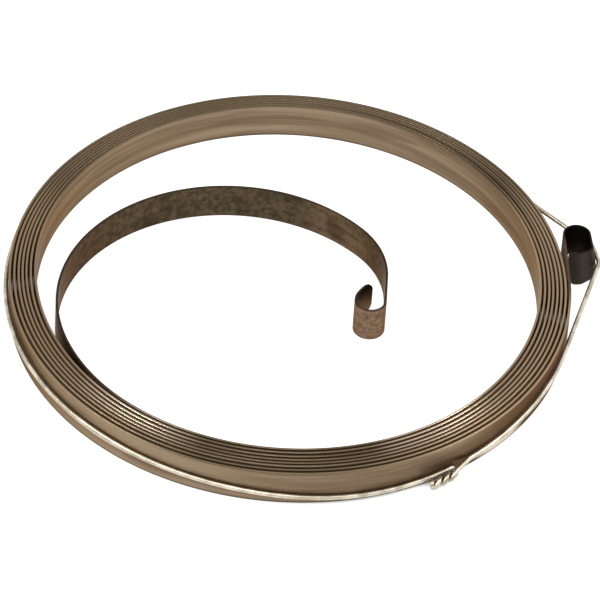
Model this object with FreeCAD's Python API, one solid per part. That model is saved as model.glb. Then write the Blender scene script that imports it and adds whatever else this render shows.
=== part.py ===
"""Recoil starter spring, coiled and tied, as it is sold before it is fitted.

One flat steel strip is wound on edge into a flat ring of nested turns. Its inner end
leaves the ring as a long free arm that ends in an open hook, which catches on the hub of
the rope pulley. Its outer end leaves the ring as a straight leg that ends in a closed eye,
which drops over a post in the starter housing. The turns want to spring open, so a thin
galvanised wire is drawn round the ring and the eye, and its two ends are twisted together
and folded back along it.

The ring lies flat. +Z is up, along the axis of the coil. The origin is on that axis, on
the surface that the ring lies on. Seen from above, the strip winds inwards clockwise.
Lengths are in millimetres and angles in degrees, counted anticlockwise from +X.
"""
import FreeCAD
import Part
import math
import os

# The strip
STRIP_WIDTH = 8.0
STRIP_THICKNESS = 0.5

# The ring of turns
COIL_OUTER_RADIUS = 57.75
WHOLE_TURNS = 7
OUTER_END_ANGLE = 5.0
INNER_END_ANGLE = 234.0
GAP_BACK = 0.05
GAP_SIDES = 0.335
GAP_FRONT = 0.465
GAP_UNEVENNESS = 0.15
UNEVENNESS_TURNS = 4.5
UNEVENNESS_START = 1.3
BUNDLE_GAP = 0.12
BUNDLE_TURN = 3.5
BUNDLE_ANGLE = 30.0

# The free arm inside the ring
ARM_ROOT_TIGHTENING = 7.5
ARM_ROOT_SWEEP = 31.0
ARM_RADIUS = 35.7
ARM_SWEEP = 158.0
ARM_END_RADIUS = 20.0
ARM_END_SWEEP = 45.5
ARM_STRAIGHT = 7.6

# The open hook at the end of the arm, radii to the inside of the bend
INNER_HOOK_RADIUS = 2.8
INNER_HOOK_SWEEP = 178.0
INNER_LIP_RADIUS = 4.75
INNER_LIP_SWEEP = 34.0
INNER_TIP_LENGTH = 4.8
INNER_TIP_LOW_CORNER = 1.8
INNER_TIP_TOP_CORNER = 3.8

# The closed eye at the outer end, radii to the inside of the bend, at half the strip's width.
# Its side leans outwards below, so its lower edge runs a little wider than its upper edge.
OUTER_LEG = 13.9
EYE_BACK_RADIUS = 2.6
EYE_BACK_SWEEP = 171.0
EYE_SIDE = 3.9
EYE_CORNER_RADIUS = 1.25
EYE_CORNER_SWEEP = 69.0
EYE_FRONT = 2.25
EYE_LIP_RADIUS = 1.75
EYE_LIP_SWEEP = 38.0
EYE_TIP_LENGTH = 1.6
EYE_TIP_CORNER = 1.2
EYE_LEAN_RADIUS = 0.17
EYE_LEAN_SWEEP = 6.0
EYE_LEAN_FRONT = 0.65

# The binding wire
WIRE_DIAMETER = 1.0
WIRE_CLEARANCE = 0.06
WIRE_HEIGHT = 4.3

# Where the wire sinks: the plan angle, the depth and how far the dip reaches to each side
TWIST_DIP = (-72.0, 2.75, 60.0)
EYE_DIP = (25.0, 1.0, 60.0)

# The twisted ends of the wire, folded back along it. Both wind round the tail's axis, which
# stands off the wire, a little below level, and falls along its length. One end reaches the
# tail on a straight lead, and the other on a half loop that starts a little further back.
TWIST_ANGLE = -53.7
TWIST_LENGTH = 5.7
TWIST_PITCH = 3.8
TWIST_TILT = 8.8
TWIST_FALL = 5.0
TWIST_CLEARANCE = 0.02
TWIST_LEAD = 4.0
LOOP_BACKSET = 0.59
LOOP_SAG = 45.0

# How finely the spiral is divided into pairs of arcs, and the wire into straight runs
SPIRAL_STEP = 60.0
WIRE_STEP = 9.0
BEND_STEP = 18.0
STRAND_STEP = 62.0
LINE_RUNS = 2
LOOP_RUNS = 5

# Sine of a bend that is drawn as a straight line
STRAIGHT_ENOUGH = 1.0e-6

# Turns from the outer end between which the wire leaves the ring for the eye and meets it
LEAVES_BETWEEN = (0.6, 0.98)
MEETS_BETWEEN = (0.0, 0.2)


def vec(x, y, z=0.0):
    return FreeCAD.Vector(x, y, z)


def unit(angle):
    """Unit vector in plan at an angle in degrees."""
    return vec(math.cos(math.radians(angle)), math.sin(math.radians(angle)))


def left_of(angle):
    """Unit vector to the left of a heading. Round the ring it points outwards."""
    return unit(angle + 90.0)


# Middle line of the strip round the ring

COIL_TURNS = WHOLE_TURNS + ((OUTER_END_ANGLE - INNER_END_ANGLE) % 360.0) / 360.0
MIDDLE_RADIUS = COIL_OUTER_RADIUS - STRIP_THICKNESS / 2.0


def turn_angle(turn):
    """Plan angle that the winding has reached after so many turns."""
    return OUTER_END_ANGLE - 360.0 * turn


def gap_at(angle):
    """Air between neighbouring turns: tight at the back, loose at the front."""
    back_front = (GAP_BACK + GAP_FRONT) / 2.0
    mean = (back_front + GAP_SIDES) / 2.0
    to_back = (GAP_FRONT - GAP_BACK) / 2.0
    to_sides = (GAP_SIDES - back_front) / 2.0
    a = math.radians(angle)
    return mean - to_back * math.sin(a) + to_sides * math.cos(2.0 * a)


def coil_radius(turn):
    """Radius of the strip's middle line after so many turns."""
    angle = turn_angle(turn)
    phase = 2.0 * math.pi / UNEVENNESS_TURNS
    uneven = math.sin(phase * (turn - UNEVENNESS_START)) + math.sin(phase * UNEVENNESS_START)
    radius = MIDDLE_RADIUS - turn * STRIP_THICKNESS
    radius -= gap_at(angle) * (turn + GAP_UNEVENNESS * uneven)
    if turn > BUNDLE_TURN:
        radius -= BUNDLE_GAP * max(0.0, math.cos(math.radians(angle - BUNDLE_ANGLE))) ** 2
    return radius


def coil_point(turn, offset=0.0):
    """Point and heading on the coil, moved outwards by an offset."""
    step = 1.0e-4
    here = unit(turn_angle(turn)) * coil_radius(turn)
    before = unit(turn_angle(turn - step)) * coil_radius(turn - step)
    after = unit(turn_angle(turn + step)) * coil_radius(turn + step)
    along = after - before
    heading = math.degrees(math.atan2(along.y, along.x))
    return here + left_of(heading) * offset, heading


# Plane paths made of straight runs and tangent arcs

class Path:
    """A path walked in plan. Each piece gives its edge at an offset to the left."""

    def __init__(self, point, heading):
        self.point = point
        self.heading = heading
        self.pieces = []

    def straight(self, length):
        self.pieces.append(("line", self.point, self.heading, length, 0.0))
        self.point = self.point + unit(self.heading) * length

    def right(self, radius, sweep):
        """Turn right round an arc, radius to the middle line."""
        self.pieces.append(("arc", self.point, self.heading, radius, sweep))
        centre = self.point - left_of(self.heading) * radius
        self.heading -= sweep
        self.point = centre + left_of(self.heading) * radius

    def edges(self, offset):
        return [piece_edge(piece, offset) for piece in self.pieces]


def piece_edge(piece, offset):
    kind, point, heading, size, sweep = piece
    if kind == "line":
        start = point + left_of(heading) * offset
        return Part.makeLine(start, start + unit(heading) * size)
    centre = point - left_of(heading) * size
    radius = size + offset
    spots = [centre + left_of(heading - sweep * part) * radius for part in (0.0, 0.5, 1.0)]
    return Part.Arc(*spots).toShape()


# The strip's path: the eye is walked outwards from the ring, the arm inwards from it

def eye_path(lean=0.0):
    """The eye at one level of the strip: lean is 1 at the lower edge and -1 at the upper."""
    point, heading = coil_point(0.0)
    half = STRIP_THICKNESS / 2.0
    path = Path(point, heading + 180.0)
    path.straight(OUTER_LEG)
    path.right(EYE_BACK_RADIUS + half + lean * EYE_LEAN_RADIUS, EYE_BACK_SWEEP - lean * EYE_LEAN_SWEEP)
    path.straight(EYE_SIDE)
    path.right(EYE_CORNER_RADIUS + half, EYE_CORNER_SWEEP)
    path.straight(EYE_FRONT + lean * EYE_LEAN_FRONT)
    path.right(EYE_LIP_RADIUS + half, EYE_LIP_SWEEP)
    path.straight(EYE_TIP_LENGTH)
    return path


def arm_path():
    point, heading = coil_point(COIL_TURNS)
    half = STRIP_THICKNESS / 2.0
    path = Path(point, heading)
    path.right(coil_radius(COIL_TURNS) - ARM_ROOT_TIGHTENING, ARM_ROOT_SWEEP)
    path.right(ARM_RADIUS, ARM_SWEEP)
    path.right(ARM_END_RADIUS, ARM_END_SWEEP)
    path.straight(ARM_STRAIGHT)
    path.right(INNER_HOOK_RADIUS + half, INNER_HOOK_SWEEP)
    path.right(INNER_LIP_RADIUS + half, INNER_LIP_SWEEP)
    path.straight(INNER_TIP_LENGTH)
    return path


def arc_from(point, along, end):
    """Arc that starts along a direction and stops at a point, with its end direction."""
    chord = end - point
    way = chord * (1.0 / chord.Length)
    aside = along - way * along.dot(way)
    if aside.Length < STRAIGHT_ENOUGH:
        return Part.makeLine(point, end), along
    bend = math.asin(aside.Length)
    rise = chord.Length / 2.0 * math.tan(bend / 2.0)
    middle = (point + end) * 0.5 + aside * (rise / aside.Length)
    return Part.Arc(point, middle, end).toShape(), way * (2.0 * along.dot(way)) - along


def two_arcs(start, first, end, last):
    """Two tangent arcs between two points with a direction at each."""
    chord = end - start
    both = first + last
    a = 2.0 * (1.0 - first.dot(last))
    b = 2.0 * chord.dot(both)
    c = -chord.dot(chord)
    # The root of a reach^2 + b reach + c, in the form that still works where a is nothing.
    reach = -2.0 * c / (b + math.sqrt(b * b - 4.0 * a * c))
    joint = (start + end + (first - last) * reach) * 0.5
    one, along = arc_from(start, first, joint)
    two, _ = arc_from(joint, along, end)
    return [one, two]


def smooth_edges(stations):
    """Chain of tangent arcs through points with a direction at each."""
    edges = []
    for here, there in zip(stations, stations[1:]):
        edges += two_arcs(here[0], here[1], there[0], there[1])
    return edges


def coil_edges(offset):
    """Edges of one face of the strip round the whole ring."""
    count = int(math.ceil(COIL_TURNS * 360.0 / SPIRAL_STEP))
    stations = []
    for i in range(count + 1):
        point, heading = coil_point(COIL_TURNS * i / count, offset)
        stations.append((point, unit(heading)))
    return smooth_edges(stations)


def rounded_corner(solid, path, height, corner):
    """Round the corner of the strip's cut end at one of its two edges."""
    spot = path.point + vec(0.0, 0.0, height)
    nearest = min(solid.Edges, key=lambda edge: (edge.CenterOfMass - spot).Length)
    return solid.makeFillet(corner, [nearest])


def end_line(point, heading):
    """Edge straight across the strip in plan."""
    side = left_of(heading) * (STRIP_THICKNESS / 2.0)
    return Part.makeLine(point + side, point - side)


def make_coil_and_arm():
    half = STRIP_THICKNESS / 2.0
    arm = arm_path()
    edges = coil_edges(half) + arm.edges(half) + coil_edges(-half) + arm.edges(-half)
    edges += [end_line(*coil_point(0.0)), end_line(arm.point, arm.heading)]
    outline = Part.Wire(Part.sortEdges(edges)[0])
    solid = Part.Face(outline).extrude(vec(0.0, 0.0, STRIP_WIDTH))
    solid = rounded_corner(solid, arm, 0.0, INNER_TIP_LOW_CORNER)
    return rounded_corner(solid, arm, STRIP_WIDTH, INNER_TIP_TOP_CORNER)


def make_eye():
    """The leg and the eye, drawn straight between their lower and upper outlines."""
    half = STRIP_THICKNESS / 2.0
    levels = ((eye_path(1.0), 0.0), (eye_path(-1.0), STRIP_WIDTH))
    outlines = []
    for eye, height in levels:
        edges = eye.edges(half) + [end_line(eye.point, eye.heading)]
        edges += list(reversed(eye.edges(-half))) + [end_line(*coil_point(0.0))]
        outline = Part.Wire(Part.sortEdges(edges)[0])
        outline.translate(vec(0.0, 0.0, height))
        outlines.append(outline)
    solid = Part.makeLoft(outlines, True, True)
    for eye, height in levels:
        solid = rounded_corner(solid, eye, height, EYE_TIP_CORNER)
    return solid


def make_strip():
    return make_coil_and_arm().fuse(make_eye()).Solids[0]


# The binding wire, walked clockwise round the ring and the eye

WIRE_RADIUS = WIRE_DIAMETER / 2.0
WIRE_LIFT = STRIP_THICKNESS / 2.0 + WIRE_RADIUS + WIRE_CLEARANCE
TWIST_TURN = (OUTER_END_ANGLE - TWIST_ANGLE) / 360.0


def bend_centre(path, index):
    """Centre of one bend of the strip, with the radius of its outer face."""
    kind, point, heading, radius, sweep = path.pieces[index]
    return point - left_of(heading) * radius, radius + STRIP_THICKNESS / 2.0


def solve(function, low, high):
    """Root of a function that changes sign once between two values."""
    sign = function(low) > 0.0
    for _ in range(60):
        middle = (low + high) / 2.0
        if (function(middle) > 0.0) == sign:
            low = middle
        else:
            high = middle
    return (low + high) / 2.0


def dip(angle, place, depth, reach):
    """How far the wire has sunk at an angle, next to one of its low places."""
    away = abs((angle - place + 180.0) % 360.0 - 180.0)
    return depth * (1.0 + math.cos(math.pi * min(1.0, away / reach))) / 2.0


def wire_height(point):
    """Height of the wire's centre above a point in plan."""
    angle = math.degrees(math.atan2(point.y, point.x))
    return WIRE_HEIGHT - dip(angle, *TWIST_DIP) - dip(angle, *EYE_DIP)


def outset(step):
    """How much further out corners lie than the round line that the runs between them touch."""
    return 1.0 / math.cos(math.radians(step / 2.0))


def ring_points(start, end):
    """Corners of the wire round the ring, between two turns."""
    count = int(math.ceil((end - start) * 360.0 / WIRE_STEP))
    step = (end - start) / count
    lift = WIRE_LIFT + MIDDLE_RADIUS * (outset(step * 360.0) - 1.0)
    return [coil_point(start + step * i, lift)[0] for i in range(count + 1)]


def bend_points(centre, radius, first, last):
    """Corners of the wire round one bend of the eye, between two headings."""
    count = int(math.ceil((first - last) / BEND_STEP))
    step = (first - last) / count
    reach = radius * outset(step)
    return [centre + left_of(first - step * (i + 0.5)) * reach for i in range(count)]


def line_points(start, end):
    """Corners along a straight stretch, without its two ends."""
    return [start + (end - start) * (i / LINE_RUNS) for i in range(1, LINE_RUNS)]


def loop_points():
    """Corners of the wire from the twist round the ring and the eye, back to its lead."""
    eye_height = wire_height(eye_path().point)
    eye = eye_path(1.0 - 2.0 * (eye_height - WIRE_RADIUS) / STRIP_WIDTH)
    back_centre, back_radius = bend_centre(eye, 1)
    corner_centre, corner_radius = bend_centre(eye, 3)
    back_radius += WIRE_RADIUS + WIRE_CLEARANCE
    corner_radius += WIRE_RADIUS + WIRE_CLEARANCE

    def misses(centre, radius):
        def distance(turn):
            point, heading = coil_point(turn, WIRE_LIFT)
            return (centre - point).dot(left_of(heading)) + radius
        return distance

    leaves = solve(misses(back_centre, back_radius), *LEAVES_BETWEEN)
    meets = solve(misses(corner_centre, corner_radius), *MEETS_BETWEEN)
    between = corner_centre - back_centre
    lean = math.degrees(math.asin((corner_radius - back_radius) / between.Length))
    side_heading = math.degrees(math.atan2(between.y, between.x)) + lean
    lead_turn = TWIST_TURN - TWIST_LEAD / (2.0 * math.pi * COIL_OUTER_RADIUS)

    ring = ring_points(TWIST_TURN, leaves)
    back = bend_points(back_centre, back_radius, coil_point(leaves)[1], side_heading)
    corner = bend_points(corner_centre, corner_radius, side_heading, coil_point(meets)[1])
    rest = ring_points(meets, lead_turn)
    plan = ring + line_points(ring[-1], back[0]) + back
    plan += corner + line_points(corner[-1], rest[0]) + rest
    return [point + vec(0.0, 0.0, wire_height(point)) for point in plan]


def twist_placement(start):
    """Frame of the twist: Z runs along the tail and X from the wire to the tail's axis."""
    heading = coil_point(TWIST_TURN)[1]
    fall = math.radians(TWIST_FALL)
    tilt = math.radians(TWIST_TILT)
    along = unit(heading) * math.cos(fall) - vec(0.0, 0.0, math.sin(fall))
    aside = left_of(heading) * math.cos(tilt) - vec(0.0, 0.0, math.sin(tilt))
    aside = (aside - along * aside.dot(along)).normalize()
    return FreeCAD.Placement(start, FreeCAD.Rotation(aside, along.cross(aside), along, "XYZ"))


def twist_points():
    """Corners of the looped end and the led end in the frame of the twist, out to the tips."""
    turned = 360.0 * TWIST_LENGTH / TWIST_PITCH
    count = int(math.ceil(turned / STRAND_STEP))
    spread = (WIRE_RADIUS + TWIST_CLEARANCE) * outset(turned / count)
    axis = vec(spread + WIRE_DIAMETER + TWIST_CLEARANCE, 0.0)

    def strand(phase):
        points = []
        for i in range(count + 1):
            aside = unit(phase - turned * i / count) * spread
            points.append(axis + aside + vec(0.0, 0.0, TWIST_LENGTH * i / count))
        return points

    # The half loop hangs from the wire, with the line to the strand's start as its diameter.
    looped = strand(-90.0)
    loop_centre = (looped[0] - vec(0.0, 0.0, LOOP_BACKSET)) * 0.5
    arm = looped[0] - loop_centre
    sag = math.radians(LOOP_SAG)
    bulge = vec(0.0, -math.sin(sag), -math.cos(sag))
    bulge = (bulge - arm * (bulge.dot(arm) / arm.dot(arm))).normalize() * arm.Length
    half_loop = []
    for i in range(LOOP_RUNS):
        angle = math.pi * i / LOOP_RUNS
        half_loop.append(loop_centre - arm * math.cos(angle) + bulge * math.sin(angle))
    return half_loop + looped, strand(90.0)


def make_wire():
    """One loft along the whole wire, through a circle across each of its corners."""
    ring = loop_points()
    place = twist_placement(ring[0])
    looped, led = [[place.multVec(point) for point in end] for end in twist_points()]
    points = list(reversed(looped)) + ring[1:] + led
    runs = [(after - before).normalize() for before, after in zip(points, points[1:])]
    ways = [runs[0]] + [before + after for before, after in zip(runs, runs[1:])] + [runs[-1]]
    across = ways[0].cross(vec(0.0, 0.0, 1.0))
    circles = []
    for point, way in zip(points, ways):
        # Each circle starts on the same side as the one before, so the skin isn't wrung.
        across = (across - way * (across.dot(way) / way.dot(way))).normalize()
        circle = Part.Circle(point, way, WIRE_RADIUS)
        circle.XAxis = across
        circles.append(Part.Wire(circle.toShape()))
    return Part.makeLoft(circles, True, True)


def report(name, shape):
    box = shape.BoundBox
    print(name, "valid", shape.isValid(), "solids", len(shape.Solids), "faces", len(shape.Faces))
    print("  volume", round(shape.Volume, 2), "mass g", round(shape.Volume * 7.85e-3, 1))
    print("  x", round(box.XMin, 2), round(box.XMax, 2), "y", round(box.YMin, 2),
          round(box.YMax, 2), "z", round(box.ZMin, 2), round(box.ZMax, 2))


os.makedirs("parts", exist_ok=True)
strip = make_strip()
report("spring_strip", strip)
strip.exportStep("parts/spring_strip.step")
wire = make_wire()
report("binding_wire", wire)
wire.exportStep("parts/binding_wire.step")
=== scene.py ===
# %% [markdown]
# # Dressing a recoil starter spring
#
# The object is the spring of a small engine's pull starter, as it is sold. One strip of
# tempered steel, 8 mm wide and half a millimetre thick, is coiled on edge into a flat ring.
# Its inner end runs free across the ring and ends in an open hook. Its outer end closes into
# an eye. A thin galvanised wire is drawn round it all and twisted shut, because the turns
# want to spring open. This lesson rebuilds both pieces as fine meshes in the frame of the
# CAD model, and then gives each the finish of its real material.

# %% Load the frame
import bpy
import math
import numpy as np
from mathutils import Matrix, Vector


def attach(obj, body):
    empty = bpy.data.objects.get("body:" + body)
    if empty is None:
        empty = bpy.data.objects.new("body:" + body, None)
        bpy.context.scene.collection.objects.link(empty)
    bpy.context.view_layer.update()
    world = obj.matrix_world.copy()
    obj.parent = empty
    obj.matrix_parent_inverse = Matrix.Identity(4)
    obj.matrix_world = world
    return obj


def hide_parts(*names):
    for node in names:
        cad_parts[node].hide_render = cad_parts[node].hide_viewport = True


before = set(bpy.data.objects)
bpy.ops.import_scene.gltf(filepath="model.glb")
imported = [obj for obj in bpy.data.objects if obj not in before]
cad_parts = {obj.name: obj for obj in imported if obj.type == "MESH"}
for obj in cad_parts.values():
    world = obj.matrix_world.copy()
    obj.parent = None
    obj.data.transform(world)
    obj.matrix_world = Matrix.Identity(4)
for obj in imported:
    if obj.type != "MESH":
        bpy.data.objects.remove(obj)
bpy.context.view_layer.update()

MM = 0.001

# %% [markdown]
# ## The camera
#
# A long lens from over a metre away keeps the near and the far side of the ring almost the
# same size, as the photograph does. The camera looks down at 42.6 degrees. The picture is
# also turned a little clockwise, so the camera rolls the other way. A small shift puts the
# ring a little left of the middle and below it. All of this was fitted to the ring's outline
# first.

# %% Camera
CAMERA_ELEVATION = 42.59
CAMERA_ROLL = 3.77
CAMERA_DISTANCE = 1150.0 * MM
NEAREST_DRAWN = 50.0 * MM
RING_IN_VIEW = Vector((0.21 * MM, -0.38 * MM, 0.0))
PICTURE_PIXELS = 600.0
RING_PIXEL_X = 288.5
RING_PIXEL_Y = 307.1
FOCAL_PIXELS = 5604.0
SENSOR_WIDTH = 36.0

camera_data = bpy.data.cameras.new("camera")
camera = bpy.data.objects.new("camera", camera_data)
bpy.context.scene.collection.objects.link(camera)
camera_data.sensor_width = SENSOR_WIDTH
camera_data.lens = SENSOR_WIDTH * FOCAL_PIXELS / PICTURE_PIXELS
camera_data.clip_start = NEAREST_DRAWN
camera_data.shift_x = (PICTURE_PIXELS / 2.0 - RING_PIXEL_X) / PICTURE_PIXELS
camera_data.shift_y = (RING_PIXEL_Y - PICTURE_PIXELS / 2.0) / PICTURE_PIXELS
look_down = math.radians(CAMERA_ELEVATION)
from_ring = Vector((0.0, -math.cos(look_down), math.sin(look_down)))
camera.matrix_world = (
    Matrix.Translation(RING_IN_VIEW + from_ring * CAMERA_DISTANCE)
    @ Matrix.Rotation(math.pi / 2.0 - look_down, 4, "X")
    @ Matrix.Rotation(math.radians(CAMERA_ROLL), 4, "Z")
)
bpy.context.scene.camera = camera
print("lens in mm", round(camera_data.lens, 1))

# %% [markdown]
# ## The strip's sizes
#
# Rolled strip keeps its section, so its shape is all in the line that it follows. A curve
# object with a bevel could draw that, but it gives no control over the eye, whose side leans.
# A mesh built station by station can lean, can round its cut ends, and can carry the distance
# along the strip to the material, which needs it for streaks that follow the rolling.
# The sizes are those of the CAD model, in millimetres and degrees.

# %% Sizes of the strip
STRIP_WIDTH = 8.0
STRIP_THICKNESS = 0.5
HALF = STRIP_THICKNESS / 2.0
COIL_OUTER_RADIUS = 57.75
WHOLE_TURNS = 7.0
OUTER_END_ANGLE = 5.0
INNER_END_ANGLE = 234.0
COIL_TURNS = WHOLE_TURNS + ((OUTER_END_ANGLE - INNER_END_ANGLE) % 360.0) / 360.0
print("turns", round(COIL_TURNS, 2), "coil across in mm", 2.0 * COIL_OUTER_RADIUS)

# %% [markdown]
# ## The ring of turns
#
# The turns lie almost tight at the back and stand apart at the front, because the ring sat
# a little off centre when it was tied. So the air between two turns is written as a smooth
# function of the angle. It grows and shrinks a little from turn to turn, and one gap in the
# middle of the ring is wider at the right back, where the turns lie in two bundles.

# %% The spiral
GAP_BACK = 0.05
GAP_SIDES = 0.335
GAP_FRONT = 0.465
GAP_UNEVENNESS = 0.15
UNEVENNESS_TURNS = 4.5
UNEVENNESS_START = 1.3
BUNDLE_GAP = 0.12
BUNDLE_TURN = 3.5
BUNDLE_ANGLE = 30.0
TINY_TURN = 1.0e-4


def unit(angle):
    return np.array([math.cos(math.radians(angle)), math.sin(math.radians(angle))])


def left_of(heading):
    return unit(heading + 90.0)


def gap_at(angle):
    """Air between neighbouring turns: tight at the back, loose at the front."""
    middle = (GAP_BACK + GAP_FRONT) / 2.0
    turned = math.radians(angle)
    return ((middle + GAP_SIDES) / 2.0 - (GAP_FRONT - GAP_BACK) / 2.0 * math.sin(turned)
            + (GAP_SIDES - middle) / 2.0 * math.cos(2.0 * turned))


def coil_radius(turn):
    """Radius of the strip's middle line after so many turns from the outer end."""
    angle = OUTER_END_ANGLE - 360.0 * turn
    phase = 2.0 * math.pi / UNEVENNESS_TURNS
    uneven = math.sin(phase * (turn - UNEVENNESS_START)) + math.sin(phase * UNEVENNESS_START)
    radius = COIL_OUTER_RADIUS - HALF - turn * STRIP_THICKNESS
    radius -= gap_at(angle) * (turn + GAP_UNEVENNESS * uneven)
    if turn > BUNDLE_TURN:
        radius -= BUNDLE_GAP * max(0.0, math.cos(math.radians(angle - BUNDLE_ANGLE))) ** 2
    return radius


def on_coil(turn):
    return unit(OUTER_END_ANGLE - 360.0 * turn) * coil_radius(turn)


def coil_point(turn, offset=0.0):
    """Point and heading on the coil, moved outwards by an offset."""
    ahead = on_coil(turn + TINY_TURN) - on_coil(turn - TINY_TURN)
    heading = math.degrees(math.atan2(ahead[1], ahead[0]))
    return on_coil(turn) + left_of(heading) * offset, heading


print("radius of the innermost turn in mm", round(coil_radius(COIL_TURNS), 2))

# %% [markdown]
# ## Runs and bends
#
# The ends of the strip were bent over pins, so they are straight runs and arcs that meet
# smoothly. They could be drawn as curves by hand, but then no run would be truly straight.
# One small walker steps along them and notes a point and a heading each time. The eye leans:
# its lower edge runs wider than its upper edge, so it is walked once for each edge of the
# strip, and the faces are drawn straight between the two lines.

# %% Walk along runs and bends
EYE_LEAN_RADIUS = 0.17
EYE_LEAN_SWEEP = 6.0
EYE_LEAN_FRONT = 0.65
ARM_ROOT_TIGHTENING = 7.5
RING_STATIONS = 1770


def walk(point, heading, moves):
    """Stations along moves of (length, 0, steps) or (radius, degrees to the right, steps)."""
    stations = [(point, heading)]
    for size, sweep, steps in moves:
        start, first = stations[-1]
        for i in range(1, steps + 1):
            turned = first - sweep * i / steps
            if sweep:
                spot = start - left_of(first) * size + left_of(turned) * size
            else:
                spot = start + unit(first) * size * i / steps
            stations.append((spot, turned))
    return stations


def eye_moves(lean):
    """Moves of the eye, where lean is 1 at the strip's lower edge and -1 at its upper."""
    leg = (13.9, 0.0, 10)
    back = (2.85 + EYE_LEAN_RADIUS * lean, 171.0 - EYE_LEAN_SWEEP * lean, 34)
    side = (3.9, 0.0, 6)
    corner = (1.5, 69.0, 16)
    front = (2.25 + EYE_LEAN_FRONT * lean, 0.0, 4)
    lip = (2.0, 38.0, 10)
    tip = (1.6, 0.0, 12)
    return [leg, back, side, corner, front, lip, tip]


def arm_moves():
    """Moves of the free arm, from the innermost turn to the hook's tip."""
    root = (coil_radius(COIL_TURNS) - ARM_ROOT_TIGHTENING, 31.0, 20)
    arm = (35.7, 158.0, 90)
    arm_end = (20.0, 45.5, 24)
    straight = (7.6, 0.0, 6)
    hook = (3.05, 178.0, 40)
    lip = (5.0, 34.0, 10)
    tip = (4.8, 0.0, 24)
    return [root, arm, arm_end, straight, hook, lip, tip]


def strip_line(lean):
    """The whole strip at one level, from the eye's tip round the ring to the hook's tip."""
    start, heading = coil_point(0.0)
    eye = walk(start, heading + 180.0, eye_moves(lean))
    eye = [(point, outwards - 180.0) for point, outwards in reversed(eye)]
    ring = [coil_point(COIL_TURNS * i / RING_STATIONS) for i in range(1, RING_STATIONS)]
    return eye + ring + walk(*coil_point(COIL_TURNS), arm_moves())


def distances(points):
    """How far along a line each of its points is."""
    return np.concatenate([[0.0], np.cumsum(np.linalg.norm(np.diff(points, axis=0), axis=1))])


low_line = strip_line(1.0)
top_line = strip_line(-1.0)
low_points = np.array([point for point, heading in low_line])
top_points = np.array([point for point, heading in top_line])
low_sides = np.array([left_of(heading) for point, heading in low_line])
top_sides = np.array([left_of(heading) for point, heading in top_line])
along = distances((low_points + top_points) / 2.0)
strip_length = along[-1]
print("strip length in mm", round(strip_length), "stations", len(along))

# %% [markdown]
# ## The strip's section
#
# Rolled strip has two flat faces and two edges with small round corners, and those corners
# carry the thin bright lines that show where one turn ends and the next begins. A bevel
# modifier could round them, but then the new corners wouldn't know which face they belong
# to. So each corner gets four points of its own. A further point just inside each corner
# keeps the flat faces flat when the mesh is shaded smooth.

# %% Section of the strip
EDGE_ROUNDING = 0.17
FLAT_FROM = 0.32
CORNER_STEPS = 3
# side of the strip, 1 at its upper edge, and the direction in which the corner starts
CORNERS = [(1, 0, 270.0), (1, 1, 0.0), (-1, 1, 90.0), (-1, 0, 180.0)]

# each point is its place across the strip, its height, and 1 where it is on a rolled edge
section = []
for side, upper, first_angle in CORNERS:
    across = side * (HALF - EDGE_ROUNDING)
    height = STRIP_WIDTH - EDGE_ROUNDING if upper else EDGE_ROUNDING
    corner = []
    for i in range(CORNER_STEPS + 1):
        round_by = unit(first_angle + 90.0 * i / CORNER_STEPS) * EDGE_ROUNDING
        corner.append((across + round_by[0], height + round_by[1], 1.0))
    flat = (side * HALF, STRIP_WIDTH - FLAT_FROM if upper else FLAT_FROM, 0.0)
    section += corner + [flat] if (side > 0) != bool(upper) else [flat] + corner
print("points round the section", len(section))

# %% [markdown]
# ## Sheared and rounded ends
#
# The strip's two ends are cut with round corners, so that they don't catch. They could be
# cut out of a longer strip, but that leaves ragged faces. Near an end the section is squeezed
# between the two corner curves instead, and the last stations are made a little thinner, as
# a tumbled edge is.

# %% Rounded ends
HOOK_LOW_CORNER = 1.8
HOOK_TOP_CORNER = 3.8
EYE_CORNER = 1.2
TUMBLED_OVER = [0.0, 0.14, 0.28]
TUMBLED_TO = [0.45, 0.85, 1.0]


def corner_cut(distance, corner):
    """How much of the width a round corner takes away at a distance from the end."""
    inside = np.clip(corner - distance, 0.0, corner)
    return corner - np.sqrt(np.maximum(corner ** 2 - inside ** 2, 0.0))


from_hook = strip_length - along
eye_cut = corner_cut(along, EYE_CORNER)
low_limit = np.maximum(eye_cut, corner_cut(from_hook, HOOK_LOW_CORNER))
top_limit = STRIP_WIDTH - np.maximum(eye_cut, corner_cut(from_hook, HOOK_TOP_CORNER))
thinning = np.interp(np.minimum(along, from_hook), TUMBLED_OVER, TUMBLED_TO)
print("width left at the hook's tip in mm", round(top_limit[-1] - low_limit[-1], 2))

# %% [markdown]
# ## The strip's mesh
#
# One ring of points for every station, joined by quads, is all that a rolled strip needs.
# Each point also keeps four facts for the finish: how far along the strip it is, how high on
# it, on which face, and whether it is on a rolled edge.

# %% Build the strip
def new_piece(name, vertices, faces, floats):
    """Mesh object with smooth faces and one value per vertex for each name in floats."""
    mesh = bpy.data.meshes.new(name)
    mesh.from_pydata(vertices.tolist(), [], faces)
    for label, values in floats.items():
        layer = mesh.attributes.new(label, "FLOAT", "POINT")
        layer.data.foreach_set("value", np.asarray(values, dtype=np.float32))
    mesh.shade_smooth()
    mesh.update()
    piece = bpy.data.objects.new(name, mesh)
    bpy.context.scene.collection.objects.link(piece)
    return piece


def ring_faces(count, around):
    """Quads between neighbouring rings of points, with a face on each end."""
    faces = []
    for j in range(count - 1):
        for k in range(around):
            after = (k + 1) % around
            faces.append((j * around + k, j * around + after,
                          (j + 1) * around + after, (j + 1) * around + k))
    faces.append(tuple(reversed(range(around))))
    faces.append(tuple((count - 1) * around + k for k in range(around)))
    return faces


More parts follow.
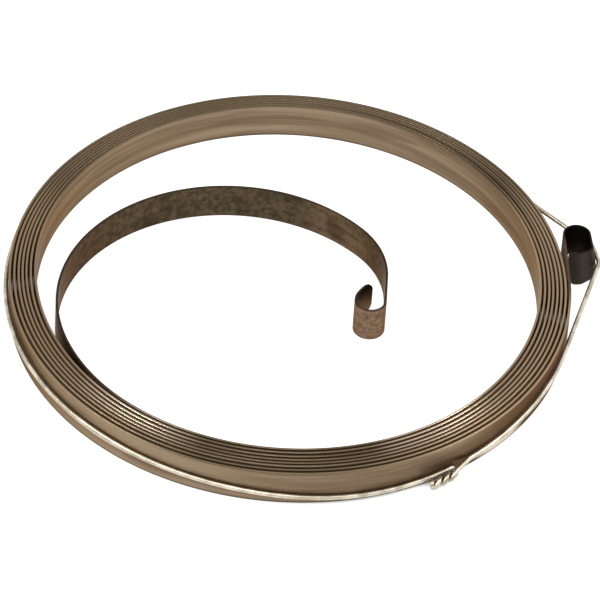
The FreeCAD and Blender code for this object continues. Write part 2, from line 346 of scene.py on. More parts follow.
rings = []
heights = []
for across, height, rolled in section:
    level = low_limit + (top_limit - low_limit) * height / STRIP_WIDTH
    upwards = (level / STRIP_WIDTH)[:, None]
    offset = (across * thinning)[:, None]
    low_plan = low_points + low_sides * offset
    top_plan = top_points + top_sides * offset
    rings.append(np.column_stack([low_plan * (1.0 - upwards) + top_plan * upwards, level]))
    heights.append(level)
around = len(section)
strip = new_piece(
    "spring_steel_strip",
    np.stack(rings, axis=1).reshape(-1, 3) * MM,
    ring_faces(len(along), around),
    {
        "along_mm": np.repeat(along, around),
        "height_mm": np.stack(heights, axis=1).ravel(),
        "outer_face": np.tile([1.0 if point[0] > 0.0 else 0.0 for point in section], len(along)),
        "rolled_edge": np.tile([point[2] for point in section], len(along)),
    },
)
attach(strip, "root")
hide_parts("spring_strip")
print("strip faces", len(strip.data.polygons))

# %% [markdown]
# ## The binding wire
#
# The wire is one length of soft galvanised wire. It was drawn round the ring and the eye,
# and its ends were twisted together with pliers. A curve with a round bevel could draw it,
# but the twist needs exact places, so it is one list of points with a tube mesh round it.
# The wire sinks towards the twist, where the pliers pulled it down, and a little at the eye,
# and it rises again just left of the twist.

# %% Height of the wire
WIRE_RADIUS = 0.5
WIRE_CLEARANCE = 0.03
WIRE_LIFT = HALF + WIRE_RADIUS + WIRE_CLEARANCE
WIRE_HEIGHT = 4.3
# each is a plan angle, how far the wire sinks there, and the angle at which that has faded
TWIST_DIP = (-72.0, 2.75, 60.0)
EYE_DIP = (25.0, 1.0, 60.0)
FRONT_RISE = (-95.0, -0.45, 28.0)


def dip(angle, place, depth, reach):
    away = abs((angle - place + 180.0) % 360.0 - 180.0)
    return depth * (1.0 + math.cos(math.pi * min(1.0, away / reach))) / 2.0


def raised(point):
    """The plan point, lifted to the wire's height there."""
    angle = math.degrees(math.atan2(point[1], point[0]))
    sunk = dip(angle, *TWIST_DIP) + dip(angle, *EYE_DIP) + dip(angle, *FRONT_RISE)
    return np.array([point[0], point[1], WIRE_HEIGHT - sunk])


print("height at the dip's middle in mm", round(raised(unit(TWIST_DIP[0]))[2], 2))

# %% [markdown]
# ## The wire's way round the eye
#
# A taut wire runs in straight lines between the things that it is bent round. So it follows
# the ring, leaves it on a line that touches the back of the eye, goes round the eye's back
# and front corner, and comes back to the ring on another such line. Where it leaves and
# meets the ring is found by halving, because a spiral has no simple formula for a tangent.

# %% Path round the ring and the eye
TWIST_ANGLE = -53.7
TWIST_TURN = (OUTER_END_ANGLE - TWIST_ANGLE) / 360.0
EYE_LEAN_AT_WIRE = 0.35
LEAVES_BETWEEN = (0.6, 0.98)
MEETS_BETWEEN = (0.0, 0.2)
HALVINGS = 50
# numbers of points along each stretch of the wire
ROUND_RING, RING_TO_EYE, ROUND_BACK = 260, 26, 10
BESIDE_EYE, ROUND_CORNER, TO_TWIST = 5, 12, 34


def tangent_turn(centre, radius, low, high):
    """Turn at which the wire leaves the ring on a straight line that touches a circle."""
    def misses(turn):
        point, heading = coil_point(turn, WIRE_LIFT)
        return np.dot(centre - point, left_of(heading)) + radius
    sign = misses(low) > 0.0
    for _ in range(HALVINGS):
        middle = (low + high) / 2.0
        if (misses(middle) > 0.0) == sign:
            low = middle
        else:
            high = middle
    return low


def ring_points(first, last, count):
    """Points of the wire along the ring, from one turn to another."""
    return [coil_point(first + (last - first) * i / count, WIRE_LIFT)[0] for i in range(count + 1)]


def arc_points(centre, radius, first_heading, last_heading, count):
    turned = [first_heading + (last_heading - first_heading) * i / count for i in range(count + 1)]
    return [centre + left_of(heading) * radius for heading in turned]


def straight_points(start, end, count):
    return [start + (end - start) * i / count for i in range(count + 1)]


start, heading = coil_point(0.0)
moves = eye_moves(EYE_LEAN_AT_WIRE)
leg, back, side, corner = moves[:4]
eye_line = walk(start, heading + 180.0, moves)
back_start, back_heading = eye_line[leg[2]]
corner_start, corner_heading = eye_line[leg[2] + back[2] + side[2]]
back_centre = back_start - left_of(back_heading) * back[0]
corner_centre = corner_start - left_of(corner_heading) * corner[0]
back_radius = back[0] + WIRE_LIFT
corner_radius = corner[0] + WIRE_LIFT
leaves = tangent_turn(back_centre, back_radius, *LEAVES_BETWEEN)
meets = tangent_turn(corner_centre, corner_radius, *MEETS_BETWEEN)
leave_point, leave_heading = coil_point(leaves, WIRE_LIFT)
meet_point, meet_heading = coil_point(meets, WIRE_LIFT)
between = corner_centre - back_centre
side_heading = math.degrees(math.atan2(between[1], between[0])) + math.degrees(
    math.asin((corner_radius - back_radius) / np.linalg.norm(between)))
if leave_heading < side_heading:
    leave_heading += 360.0
if meet_heading > side_heading:
    meet_heading -= 360.0

round_back = arc_points(back_centre, back_radius, leave_heading, side_heading, ROUND_BACK)
round_corner = arc_points(corner_centre, corner_radius, side_heading, meet_heading, ROUND_CORNER)
plan = ring_points(TWIST_TURN, leaves, ROUND_RING)
plan += straight_points(leave_point, round_back[0], RING_TO_EYE)[1:] + round_back[1:]
plan += straight_points(round_back[-1], round_corner[0], BESIDE_EYE)[1:] + round_corner[1:]
plan += straight_points(round_corner[-1], meet_point, RING_TO_EYE)[1:]
plan += ring_points(meets, TWIST_TURN, TO_TWIST)[1:]
loop = np.array([raised(point) for point in plan])
print("length of the loop in mm", round(float(distances(loop)[-1])))

# %% [markdown]
# ## The twist
#
# Two strands wind round one axis, half a turn apart. Their frame has Z along the tail and X
# from the wire to the tail, which leans out, a little below level. One end comes to the tail
# on a straight lead and the other round a half loop, as wire does when pliers fold it back.

# %% Strands of the twist
TWIST_LENGTH = 5.7
TWIST_PITCH = 3.8
TWIST_SPREAD = 0.56
TWIST_REACH = 1.62
TWIST_FALL = math.radians(5.0)
TWIST_TILT = math.radians(8.8)
TWIST_LEAD = 4.0
LOOP_BACKSET = 0.59
LOOP_SAG = math.radians(45.0)
STRAND_POINTS = 61
LOOP_POINTS = 17
# so many points at the ring's end are looked at, to stop where the lead starts
LAST_POINTS = 40

point, heading = coil_point(TWIST_TURN, WIRE_LIFT)
tail_origin = raised(point)
tail_way = np.append(unit(heading) * math.cos(TWIST_FALL), -math.sin(TWIST_FALL))
tail_aside = np.append(left_of(heading) * math.cos(TWIST_TILT), -math.sin(TWIST_TILT))
tail_aside -= tail_way * np.dot(tail_aside, tail_way)
tail_aside /= np.linalg.norm(tail_aside)
tail_frame = np.array([tail_aside, np.cross(tail_way, tail_aside), tail_way])


def in_twist(spots):
    """Points of the twist's own frame, in the frame of the part."""
    return tail_origin + spots @ tail_frame


def strand(phase):
    run = np.linspace(0.0, TWIST_LENGTH, STRAND_POINTS)
    angle = math.radians(phase) - 2.0 * math.pi * run / TWIST_PITCH
    aside = TWIST_REACH + TWIST_SPREAD * np.cos(angle)
    return np.column_stack([aside, TWIST_SPREAD * np.sin(angle), run])


looped, led = strand(-90.0), strand(90.0)
loop_end = np.array([0.0, 0.0, -LOOP_BACKSET])
loop_middle = (looped[0] + loop_end) / 2.0
loop_arm = looped[0] - loop_middle
bulge = np.array([0.0, -math.sin(LOOP_SAG), -math.cos(LOOP_SAG)])
bulge -= loop_arm * np.dot(bulge, loop_arm) / np.dot(loop_arm, loop_arm)
bulge *= np.linalg.norm(loop_arm) / np.linalg.norm(bulge)
turned = np.linspace(0.0, math.pi, LOOP_POINTS)[1:, None]
half_loop = loop_middle + loop_arm * np.cos(turned) + bulge * np.sin(turned)
ring_end = [spot for spot in loop[-LAST_POINTS:]
            if np.dot(spot - tail_origin, tail_way) < -TWIST_LEAD]
corner_line = np.concatenate([in_twist(looped[::-1]), in_twist(half_loop),
                              loop[1:-LAST_POINTS], ring_end, in_twist(led)])
print("points before rounding", len(corner_line))

# %% [markdown]
# ## Rounding the wire's small corners
#
# Wire that was bent with pliers has no sharp corner anywhere. A subdivision modifier would
# round it too, but it would also thin the tube at each bend. So the line itself is eased:
# its points are spaced evenly, and then each is moved a little towards its neighbours. The
# strands must not be eased into each other, so their nearest distance is measured.

# %% Even spacing and easing
WIRE_SPACING = 0.3
EASING_PASSES = 3
END_POINTS = 60
NEIGHBOURS = 8


def evenly(line, step):
    """The same line with points a fixed distance apart."""
    run = distances(line)
    spots = np.linspace(0.0, run[-1], int(run[-1] / step) + 1)
    return np.column_stack([np.interp(spots, run, line[:, i]) for i in range(3)])


def eased(line, passes):
    for _ in range(passes):
        line[1:-1] = line[1:-1] * 0.5 + (line[:-2] + line[2:]) * 0.25
    return line


wire_line = eased(evenly(corner_line, WIRE_SPACING), EASING_PASSES)
ends = np.concatenate([wire_line[:END_POINTS], wire_line[-END_POINTS:]])
apart = np.linalg.norm(ends[:, None] - ends[None, :], axis=2)
order = np.arange(len(ends))
not_neighbours = np.abs(np.subtract.outer(order, order)) >= NEIGHBOURS
print("nearest centres in the twist, in mm", round(float(apart[not_neighbours].min()), 2))

# %% [markdown]
# ## The wire's mesh
#
# The tube is drawn ring by ring. Each ring takes over the direction of the one before it, so
# that the mesh doesn't wring itself where the wire bends. The cut ends are a little thinner,
# as side cutters leave them.

# %% Build the wire
WIRE_SIDES = 14
CUT_OVER = [0.0, 0.3]
CUT_TO = [0.8, 1.0]


def tube(line, radius, sides):
    """Points of a round tube along a line, ring by ring, with no twist of its own."""
    ways = np.gradient(line, axis=0)
    ways /= np.linalg.norm(ways, axis=1)[:, None]
    normal = np.cross(ways[0], [0.0, 0.0, 1.0])
    angles = np.linspace(0.0, 2.0 * math.pi, sides, endpoint=False)
    rings = []
    for spot, way, thick in zip(line, ways, radius):
        normal = normal - way * np.dot(normal, way)
        normal /= np.linalg.norm(normal)
        circle = np.outer(np.cos(angles), normal) + np.outer(np.sin(angles), np.cross(way, normal))
        rings.append(spot + thick * circle)
    return np.concatenate(rings)


wire_run = distances(wire_line)
to_end = np.minimum(wire_run, wire_run[-1] - wire_run)
wire_radius = WIRE_RADIUS * np.interp(to_end, CUT_OVER, CUT_TO)
wire = new_piece(
    "galvanised_binding_wire",
    tube(wire_line, wire_radius, WIRE_SIDES) * MM,
    ring_faces(len(wire_line), WIRE_SIDES),
    {"along_mm": np.repeat(wire_run, WIRE_SIDES)},
)
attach(wire, "root")
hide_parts("binding_wire")
print("wire points", len(wire_line), "wire faces", len(wire.data.polygons))

# %% [markdown]
# ## Writing a finish
#
# Colours are written as the hex values that a colour picker shows, and turned to the linear
# values that the renderer works with. One function adds a node, with its settings and links,
# to the material that is being made, whose nodes are kept in `tree`. A finish is then built
# up as a painter would: a base tone, and other tones laid over it, each by a share from
# 0 to 1 that says where it shows. Painting an image would need a texture file, and this
# works at any distance.

# %% Helpers for the finishes
def linear(hex_colour):
    """sRGB hex to linear red, green, blue and alpha."""
    parts = [int(hex_colour[i:i + 2], 16) / 255.0 for i in (1, 3, 5)]
    return tuple(p / 12.92 if p <= 0.04045 else ((p + 0.055) / 1.055) ** 2.4 for p in parts) + (1.0,)


def new_material(name):
    material = bpy.data.materials.new(name)
    material.use_nodes = True
    material.node_tree.nodes.clear()
    output = material.node_tree.nodes.new("ShaderNodeOutputMaterial")
    return material, material.node_tree, output


def add(kind, links=(), **settings):
    """Adds a node: settings are its own properties, links are (input, value or socket)."""
    node = tree.nodes.new(kind)
    for name, value in settings.items():
        setattr(node, name, value)
    for name, value in links:
        if isinstance(value, bpy.types.NodeSocket):
            tree.links.new(value, node.inputs[name])
        else:
            node.inputs[name].default_value = value
    return node


def fading(value, start, end, least=0.0, most=1.0):
    """A share that goes smoothly from least to most as the value goes from start to end."""
    return add("ShaderNodeMapRange", [("Value", value), ("From Min", start), ("From Max", end),
                                      ("To Min", least), ("To Max", most)],
               interpolation_type="SMOOTHSTEP").outputs["Result"]


def overlap(first, *others):
    """The share where all of the shares hold."""
    for other in others:
        first = add("ShaderNodeMath", [(0, first), (1, other)], operation="MULTIPLY").outputs[0]
    return first


def either(first, second):
    """The larger of two shares."""
    return add("ShaderNodeMath", [(0, first), (1, second)], operation="MAXIMUM").outputs[0]


def toned(under, share, over):
    """One tone laid over another by a share. Tones are hex values or sockets."""
    under, over = [linear(tone) if isinstance(tone, str) else tone for tone in (under, over)]
    links = [(0, share), (6, under), (7, over)]
    return add("ShaderNodeMix", links, data_type="RGBA").outputs[2]


print("linear value of a middle grey", round(linear("#808080")[0], 3))

# %% [markdown]
# ## Tempered spring steel
#
# Starter springs are hardened and tempered carbon steel, rolled bright and then oiled. The
# temper leaves a thin brown oxide, which is why the metal looks bronze and not grey. Rolling
# leaves soft streaks that run along the strip, never across it. Noise in space can't do that
# on a coil, so the streaks are fed with the distance along the strip and the height on it,
# and are stretched thirty to fifty times longer than wide. Real rolling lines are finer than
# a tenth of a millimetre and wouldn't show, so the fine ones are drawn 0.3 mm wide.

# %% Rolled steel with a brown temper
# tempered spring steel, rolled: a satin bronze with streaks that follow the strip
steel, tree, output = new_material("tempered_spring_steel")
along_fac, height_fac, outer_fac, rolled_fac = [
    add("ShaderNodeAttribute", attribute_name=name).outputs["Fac"]
    for name in ("along_mm", "height_mm", "outer_face", "rolled_edge")
]
inner_fac = fading(outer_fac, start=0.6, end=0.4)


def streaks(length_mm, width_mm, detail):
    """Noise stretched along the strip, from the real length and width of one streak."""
    run = overlap(along_fac, 1.0 / length_mm)
    rise = overlap(height_fac, 1.0 / width_mm)
    place = add("ShaderNodeCombineXYZ", [("X", run), ("Y", rise), ("Z", outer_fac)])
    links = [("Vector", place.outputs[0]), ("Scale", 1.0), ("Detail", detail)]
    return add("ShaderNodeTexNoise", links).outputs["Fac"]


wide_streaks = streaks(length_mm=70.0, width_mm=2.4, detail=2.0)
fine_streaks = streaks(length_mm=16.0, width_mm=0.3, detail=3.0)
colour = toned("#6B5845", fading(wide_streaks, 0.34, 0.66), "#93806A")
colour = toned(colour, fading(fine_streaks, 0.35, 0.75, most=0.4), "#9C8A72")
print("nodes for the rolled steel", len(tree.nodes))

# %% [markdown]
# ## Painted light, shade and tone round the ring
#
# The faces are toned by plan angle. High on the outer face at the front left a paler patch is
# a painted highlight, and on the outer face at the right a dark patch is painted shade, where
# that face turns from the light. Other patches make the outer face darker at the front right
# and the left, and the inner face darker at the right. A ring can be divided by the direction
# from its middle, so each patch is a plan angle and a width, on the outer or the inner face.

# %% Painted shade and tone round the ring
# each is a plan angle, half its width in degrees, its face, its strength and its tone
SHADE_AND_TONE_PATCHES = [
    # the second entry is painted shade on the outer face at the right; the others only make the faces
    # darker
    (-22.0, 34.0, outer_fac, 0.85, "#543F2F"),
    (6.0, 22.0, outer_fac, 0.8, "#36291E"),
    (-172.0, 32.0, outer_fac, 0.5, "#66553F"),
    (0.0, 45.0, inner_fac, 0.35, "#655747"),
]
object_spot = add("ShaderNodeTexCoord").outputs["Object"]
flattened = [(0, object_spot), (1, (1.0, 1.0, 0.0))]
plan_spot = add("ShaderNodeVectorMath", flattened, operation="MULTIPLY")
plan_way = add("ShaderNodeVectorMath", [(0, plan_spot.outputs[0])], operation="NORMALIZE").outputs[0]


def near_angle(angle, half_width):
    """Share of the ring near one plan angle: 1 there, and 0 from half_width away."""
    way = (math.cos(math.radians(angle)), math.sin(math.radians(angle)), 0.0)
    towards = add("ShaderNodeVectorMath", [(0, plan_way), (1, way)], operation="DOT_PRODUCT")
    return fading(towards.outputs["Value"], math.cos(math.radians(half_width)), 1.0)


# painted highlight: the upper part of the outer face at the front left is made paler
painted_sheen_height = fading(height_fac, start=3.5, end=7.5, most=0.5)
colour = toned(colour, overlap(near_angle(-123.0, 40.0), outer_fac, painted_sheen_height), "#96846A")
for angle, half_width, face, strength, tone in SHADE_AND_TONE_PATCHES:
    colour = toned(colour, overlap(near_angle(angle, half_width), face, strength), tone)
print("patches of temper", 1 + len(SHADE_AND_TONE_PATCHES))

# %% [markdown]
# ## Stains, painted shadow and painted highlights
#
# Handling leaves long stains along the strip. Above the wire near the twist, a dark brown
# patch is painted shadow of the wire. Just below the wire at the front right, and just under
# it at the front left, a near-white band is a painted highlight. The foot of the strip is
# darker, as painted contact shade. All of these lie at a height on the strip, so the height is
# their main guide.

# %% Stains, painted shadow and painted highlights
stains = fading(streaks(length_mm=30.0, width_mm=3.2, detail=3.0), 0.5, 0.66)
colour = toned(colour, overlap(stains, 0.45), "#5A4836")
# painted shadow of the wire: a dark brown patch above it, near the twist
painted_wire_shadow = fading(height_fac, start=5.4, end=3.4, most=0.75)
colour = toned(colour, overlap(near_angle(-50.0, 9.0), outer_fac, painted_wire_shadow), "#4A3929")
# painted highlight: a near-white band below the wire at the front right and under it at the front
# left
below_wire = fading(height_fac, start=2.3, end=1.6)
painted_highlight_right = overlap(near_angle(-40.0, 8.0), outer_fac, below_wire)
under_wire = overlap(fading(height_fac, start=2.3, end=2.8), fading(height_fac, start=3.9, end=3.4))
painted_highlight_left = overlap(near_angle(-131.0, 13.0), outer_fac, under_wire)
colour = toned(colour, either(painted_highlight_right, painted_highlight_left), "#E4DACB")
# painted contact shade: darker towards the foot of the strip
foot_shade = fading(height_fac, start=0.6, end=0.15, most=0.75)
colour = toned(colour, foot_shade, "#3E3226")
print("nodes with the stains", len(tree.nodes))

# %% [markdown]
# ## Brown scale on the arm and the hook
#
# The arm was heated again before it was bent, and came out dark brown and blotched, with a
# little copper where it was hottest. The hook was bent last and is paler. The inside of its tip
# is painted shade, darkest near its upper edge. Scale grows in spots of about a millimetre, so
# here the noise lies in space and not along the strip. The distances are measured from the
# hook's tip.

# %% Brown scale
ARM_SCALE_FROM = 225.0
ARM_SCALE_FULL = 185.0
HOOK_FROM = 24.0
HOOK_FULL = 19.0
TIP_FROM = 13.0
TIP_FULL = 10.5


def blotches(size_mm, detail, roughness=0.5):
    """Noise of a real size in space, for marks that aren't tied to the rolling."""
    place = add("ShaderNodeTexCoord").outputs["Object"]
    links = [("Vector", place), ("Scale", 1.0 / (size_mm * MM)), ("Detail", detail)]
    return add("ShaderNodeTexNoise", links + [("Roughness", roughness)]).outputs["Fac"]


def towards_hook(start, end):
    """A share that starts and is full at distances from the hook's tip."""
    return fading(along_fac, strip_length - start, strip_length - end)


mottle = fading(blotches(size_mm=1.2, detail=5.0, roughness=0.7), 0.36, 0.64)
smudges = overlap(fading(blotches(size_mm=7.0, detail=3.0), 0.52, 0.66), 0.6)
copper = overlap(near_angle(62.0, 26.0), fading(wide_streaks, 0.3, 0.6), 0.5)
arm_tone = toned("#373024", mottle, "#564937")
arm_tone = toned(arm_tone, copper, "#80654E")
arm_tone = toned(arm_tone, smudges, "#2D251B")
colour = toned(colour, towards_hook(ARM_SCALE_FROM, ARM_SCALE_FULL), arm_tone)

hook_tone = toned("#5C4939", mottle, "#836A56")
hook_tone = toned(hook_tone, fading(fine_streaks, 0.5, 0.72, most=0.5), "#9C8470")
colour = toned(colour, towards_hook(HOOK_FROM, HOOK_FULL), hook_tone)
# painted shade on the inside of the hook's tip, darkest near its upper edge
tip_shade_tone = toned("#2B261C", fading(height_fac, start=7.4, end=3.6), "#75624D")
colour = toned(colour, overlap(towards_hook(TIP_FROM, TIP_FULL), inner_fac), tip_shade_tone)
print("the scale covers the last", ARM_SCALE_FROM, "mm of the strip")

# %% [markdown]
# ## Black scale on the eye
#
# The eye has the tightest bends, so it was heated most, and its scale is almost black, with
# a greyer spot outside near the tip. The leg that leads to it is brown, as the heat faded out
# along it. The distances are measured from the tip of the eye. The eye is bent outwards, so
# the strip's outer face becomes the inside of the eye.

# %% Black scale
EYE_FROM = 24.0
EYE_FULL = 19.0
LEG_FROM = 42.0
LEG_FULL = 35.0

eye_share = fading(along_fac, EYE_FROM, EYE_FULL)
leg_share = fading(along_fac, LEG_FROM, LEG_FULL)
eye_tone = toned("#110F0B", fading(blotches(size_mm=3.5, detail=3.0), 0.45, 0.65), "#231F19")
outside_tone = toned("#36332B", fading(along_fac, start=3.6, end=5.4), "#13110C")
eye_tone = toned(eye_tone, overlap(inner_fac, 0.85), outside_tone)
colour = toned(colour, leg_share, toned("#54402F", mottle, "#705542"))
colour = toned(colour, eye_share, eye_tone)
print("the black scale covers the first", EYE_FROM, "mm of the strip")

# %% [markdown]
# ## Rolled edges
#
# Seen from above, the ring is little else than its edges. They are paler at the right and
# darker at the front and the back. At the front left and the front right the edges of the inner
# turns carry painted glints, near-white. On the arm, the leg and the eye the scale covers the
# edge too. The edge gets its own tone, so that it can differ from the face below it.

# %% Tones of the rolled edges
EDGE_COVER = 0.85
ARM_EDGE_FROM = 185.0
ARM_EDGE_FULL = 150.0

back_share = near_angle(95.0, 80.0)
edge_tone = toned("#8A775E", near_angle(-92.0, 42.0), "#564B39")
edge_tone = toned(edge_tone, near_angle(-12.0, 60.0), "#A58E72")
edge_tone = toned(edge_tone, fading(wide_streaks, 0.4, 0.7, most=0.7), "#8F7C63")
edge_tone = toned(edge_tone, fading(back_share, 0.0, 0.5), "#5C503F")
inner_turns = fading(along_fac, start=600.0, end=1900.0)
# painted glints: the edges of the inner turns are made near-white at the front left and right
painted_glint_places = either(near_angle(-124.0, 18.0), near_angle(-52.0, 18.0))
edge_tone = toned(edge_tone, overlap(painted_glint_places, inner_turns, 0.7), "#CDBBA5")
edge_tone = toned(edge_tone, leg_share, "#46362A")
arm_edge = towards_hook(ARM_EDGE_FROM, ARM_EDGE_FULL)
edge_tone = toned(edge_tone, arm_edge, "#33291F")
edge_tone = toned(edge_tone, eye_share, "#16140F")
colour = toned(colour, overlap(rolled_fac, EDGE_COVER), edge_tone)
print("nodes with the edges", len(tree.nodes))

# %% [markdown]
# ## Painted shade and oil between the turns
#
# Where two turns almost touch, their faces are toned darker: painted shade, and oil, which
# also makes them less metallic further on. The renderer can tell how closed in a point is, and
# that share tones the gaps by itself, without any drawing by hand. The gaps at the sides stand
# open and catch more light, so their tone is paler. At the right back the gap after the fifth
# turn is painted near-black, as shade, and reads as a line between two bundles. A gap has two
# walls: the inner face of one turn and the outer face of the next one in.

# %% Painted shade and oil in the gaps
GAP_REACH = 1.1 * MM
DARK_GAP_ANGLE = 50.0
DARK_GAP_TURN = 5.0
HALF_TURN = 170.0
HALF_TURN_BLUR = 5.0


def along_at_turn(turn):
    """How far along the strip a turn of the ring is."""
    eye_stations = sum(move[2] for move in eye_moves(0.0))
    return float(along[eye_stations + round(turn / COIL_TURNS * RING_STATIONS)])


def one_turn(middle_mm):
    """Share of the strip within half a turn of a distance along it."""
    past = add("ShaderNodeMath", [(0, along_fac), (1, middle_mm)], operation="SUBTRACT")
    away = add("ShaderNodeMath", [(0, past.outputs[0])], operation="ABSOLUTE")
    return fading(away.outputs[0], HALF_TURN + HALF_TURN_BLUR, HALF_TURN - HALF_TURN_BLUR)


crevice = add("ShaderNodeAmbientOcclusion", [("Distance", GAP_REACH)], samples=4).outputs["AO"]
# painted shade and oil: the more closed in a point is, the darker its tone
gap_shade_and_oil = fading(crevice, start=0.62, end=0.1)
open_sides = either(near_angle(-8.0, 50.0), near_angle(172.0, 60.0))
colour = toned(colour, gap_shade_and_oil, toned("#66523C", open_sides, "#A38A6E"))

gap_turn = DARK_GAP_TURN + (OUTER_END_ANGLE - DARK_GAP_ANGLE) / 360.0
gap_outside = overlap(one_turn(along_at_turn(gap_turn)), inner_fac)
gap_inside = overlap(one_turn(along_at_turn(gap_turn + 1.0)), outer_fac)
# painted shade: the walls of that one gap are made near-black
painted_gap_shade = overlap(near_angle(DARK_GAP_ANGLE, 44.0), either(gap_outside, gap_inside),
                   fading(rolled_fac, 0.0, 1.0, least=1.0, most=0.5))
colour = toned(colour, painted_gap_shade, "#120D09")
print("dark gap lies along the strip at mm", round(along_at_turn(gap_turn)))

# %% [markdown]
# ## Shine of the steel
#
# A brown oxide film is thin, so the steel under it still reflects as a metal, but less than
# bare steel. Oil and the thick scale near the eye are hardly metallic, but inside the eye the
# black is smooth and mirrors like dark metal. Rolling makes the faces satin, and the inner
# edges are polished by rubbing on each other. A very shallow bump from the fine streaks
# breaks up the highlights along the strip.

# %% Metallic share, roughness and grain
OXIDE_METALLIC = 0.8
OILY_METALLIC = 0.3
EYE_METALLIC = 0.9
SCALE_ROUGHNESS = 0.62
POLISHED_ROUGHNESS = 0.19

matt_share = either(gap_shade_and_oil, leg_share)
metallic = fading(matt_share, 0.0, 1.0, least=OXIDE_METALLIC, most=OILY_METALLIC)
metallic = either(metallic, overlap(eye_share, outer_fac, EYE_METALLIC))
satin = fading(fine_streaks, 0.3, 0.7, least=0.34, most=0.46)
satin = either(satin, fading(leg_share, 0.0, 1.0, most=SCALE_ROUGHNESS))
scaled = either(either(arm_edge, leg_share), back_share)
polished = overlap(rolled_fac, fading(scaled, 0.0, 0.6, least=1.0, most=0.0),
                   fading(inner_turns, 0.0, 1.0, least=0.35, most=1.0))
roughness = add("ShaderNodeMix", [(0, polished), (2, satin), (3, POLISHED_ROUGHNESS)],
                data_type="FLOAT").outputs[0]
grain = add("ShaderNodeBump", [("Height", fine_streaks), ("Strength", 0.12), ("Distance", 0.02 * MM)])
surface = add("ShaderNodeBsdfPrincipled", [("Base Color", colour), ("Metallic", metallic),
                                           ("Roughness", roughness), ("Normal", grain.outputs[0]),
                                           ("Specular Tint", linear("#C0A58A"))])
tree.links.new(surface.outputs[0], output.inputs["Surface"])
strip.data.materials.append(steel)
print("nodes in the steel", len(tree.nodes))

# %% [markdown]
# ## Galvanised wire
#
# Galvanised wire is steel dipped in zinc and wiped. The zinc is pale and semi-bright, with
# soft patches where it set, so one noise drives its colour, its roughness and its dimples.
# Where the wire lies against the strip and between the strands of the twist, it is painted
# with dark shade, from how closed in each point is.

# %% Galvanised wire material
# hot-dip galvanised steel wire: a pale warm grey, semi-bright, a little uneven
ZINC_REACH = 0.9 * MM

zinc, tree, output = new_material("galvanised_steel_wire")
patches = blotches(size_mm=3.0, detail=3.0)
grime = fading(blotches(size_mm=9.0, detail=3.0, roughness=0.6), 0.52, 0.68, most=0.5)
crevice = add("ShaderNodeAmbientOcclusion", [("Distance", ZINC_REACH)], samples=4).outputs["AO"]
colour = toned("#ACA390", fading(patches, 0.35, 0.65), "#D2C9B7")
colour = toned(colour, grime, "#857C6D")
# painted shade in the crevices: the more closed in a point is, the darker the wire
colour = toned("#2A251D", fading(crevice, 0.15, 0.52), colour)
roughness = fading(patches, 0.3, 0.7, least=0.32, most=0.42)
dimples = add("ShaderNodeBump", [("Height", patches), ("Strength", 0.2), ("Distance", 0.03 * MM)])
surface = add("ShaderNodeBsdfPrincipled", [("Base Color", colour), ("Metallic", 1.0),
                                           ("Roughness", roughness), ("Normal", dimples.outputs[0])])
tree.links.new(surface.outputs[0], output.inputs["Surface"])
wire.data.materials.append(zinc)
print("nodes in the zinc", len(tree.nodes))

# %% [markdown]
# ## Floor
#
# The photograph was cut out on white. A white floor that is simply lit would have to be lit
# so strongly that the object burnt out. So the floor glows for the camera and for
# reflections, and the light that it throws on the object is that of a plain grey card. The
# glow fades in narrow gaps between the turns, where a real floor would be dark, and the
# floor still takes a faint shadow.

# %% Floor
FLOOR_SIZE = 3.0
FLOOR_DROP = 0.05 * MM
PAPER_GLOW = 0.84
SHELTER_REACH = 4.5 * MM

floor_mesh = bpy.data.meshes.new("floor")
quarters = [(-1, -1), (1, -1), (1, 1), (-1, 1)]
corners = [(x * FLOOR_SIZE, y * FLOOR_SIZE, -FLOOR_DROP) for x, y in quarters]
floor_mesh.from_pydata(corners, [], [(0, 1, 2, 3)])
floor = bpy.data.objects.new("floor", floor_mesh)
bpy.context.scene.collection.objects.link(floor)


def rays_that_see_white():
    """1 for camera, glossy and transmission rays, and 0 for the light on matt parts."""
    rays = add("ShaderNodeLightPath").outputs
    return either(either(rays["Is Camera Ray"], rays["Is Glossy Ray"]), rays["Is Transmission Ray"])


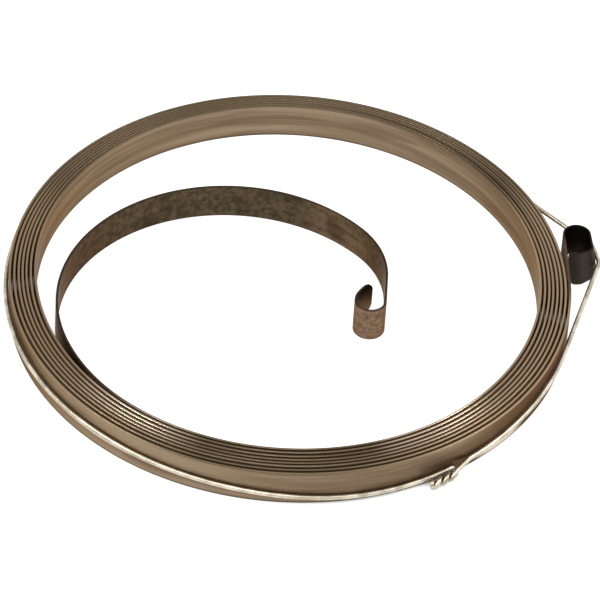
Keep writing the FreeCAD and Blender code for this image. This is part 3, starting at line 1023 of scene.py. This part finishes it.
# matt white paper: no shine, and a soft shadow under the object
paper, tree, output = new_material("white_paper")
matt = add("ShaderNodeBsdfDiffuse", [("Color", linear("#B4B4B4"))])
shelter = add("ShaderNodeAmbientOcclusion", [("Distance", SHELTER_REACH)], samples=8)
in_the_open = fading(shelter.outputs["AO"], 0.1, 0.3, most=PAPER_GLOW)
glow = add("ShaderNodeEmission", [("Color", linear("#FFFFFF")), ("Strength", in_the_open)])
glowing = add("ShaderNodeAddShader", [(0, matt.outputs[0]), (1, glow.outputs[0])])
surface = add("ShaderNodeMixShader", [(0, rays_that_see_white()), (1, matt.outputs[0]),
                                      (2, glowing.outputs[0])])
tree.links.new(surface.outputs[0], output.inputs["Surface"])
floor.data.materials.append(paper)
print("floor in metres", [2.0 * FLOOR_SIZE, 2.0 * FLOOR_SIZE])

# %% [markdown]
# ## World
#
# The world does the same as the floor: it is white behind the object and in reflections, and
# gives the matt parts only a dim light from all sides, so that the lamps keep their effect.

# %% White background
WORLD_ON_OBJECT = 0.45
WORLD_SEEN = 1.0

world = bpy.data.worlds.new("white_studio")
bpy.context.scene.world = world
world.use_nodes = True
tree = world.node_tree
tree.nodes.clear()
dim = add("ShaderNodeBackground", [("Color", linear("#FFFFFF")), ("Strength", WORLD_ON_OBJECT)])
white = add("ShaderNodeBackground", [("Color", linear("#FFFFFF")), ("Strength", WORLD_SEEN)])
sky = add("ShaderNodeMixShader", [(0, rays_that_see_white()), (1, dim.outputs[0]),
                                  (2, white.outputs[0])])
output = tree.nodes.new("ShaderNodeOutputWorld")
tree.links.new(sky.outputs[0], output.inputs["Surface"])
print("nodes in the world", len(tree.nodes))

# %% [markdown]
# ## Lamps
#
# Steel is mostly seen by what it reflects, so the lamps are square and soft. The key lamp
# from the left draws the highlight on the front left of the ring, the side lamp from the
# right draws the one at the front right, and the top lamp lifts the edges of the turns.

# %% Lamps
# each is a name, a place and a size in metres, and a power in watts
LAMPS = [
    ("key_lamp", (-0.66, -0.21, 0.85), 0.26, 5.0),
    ("side_lamp", (0.7, -0.04, 0.71), 0.22, 3.5),
    ("top_lamp", (0.0, -0.5, 1.2), 0.5, 5.0),
]
for name, place, size, power in LAMPS:
    light = bpy.data.lights.new(name, "AREA")
    light.shape = "SQUARE"
    light.size = size
    light.energy = power
    lamp = bpy.data.objects.new(name, light)
    bpy.context.scene.collection.objects.link(lamp)
    lamp.location = place
    lamp.rotation_euler = (-Vector(place)).to_track_quat("-Z", "Y").to_euler()
print("lamps", [lamp[0] for lamp in LAMPS])

# %% [markdown]
# ## Finish
#
# The standard view shows each colour as it was written.

# %% Finish
bpy.context.scene.view_settings.view_transform = "Standard"
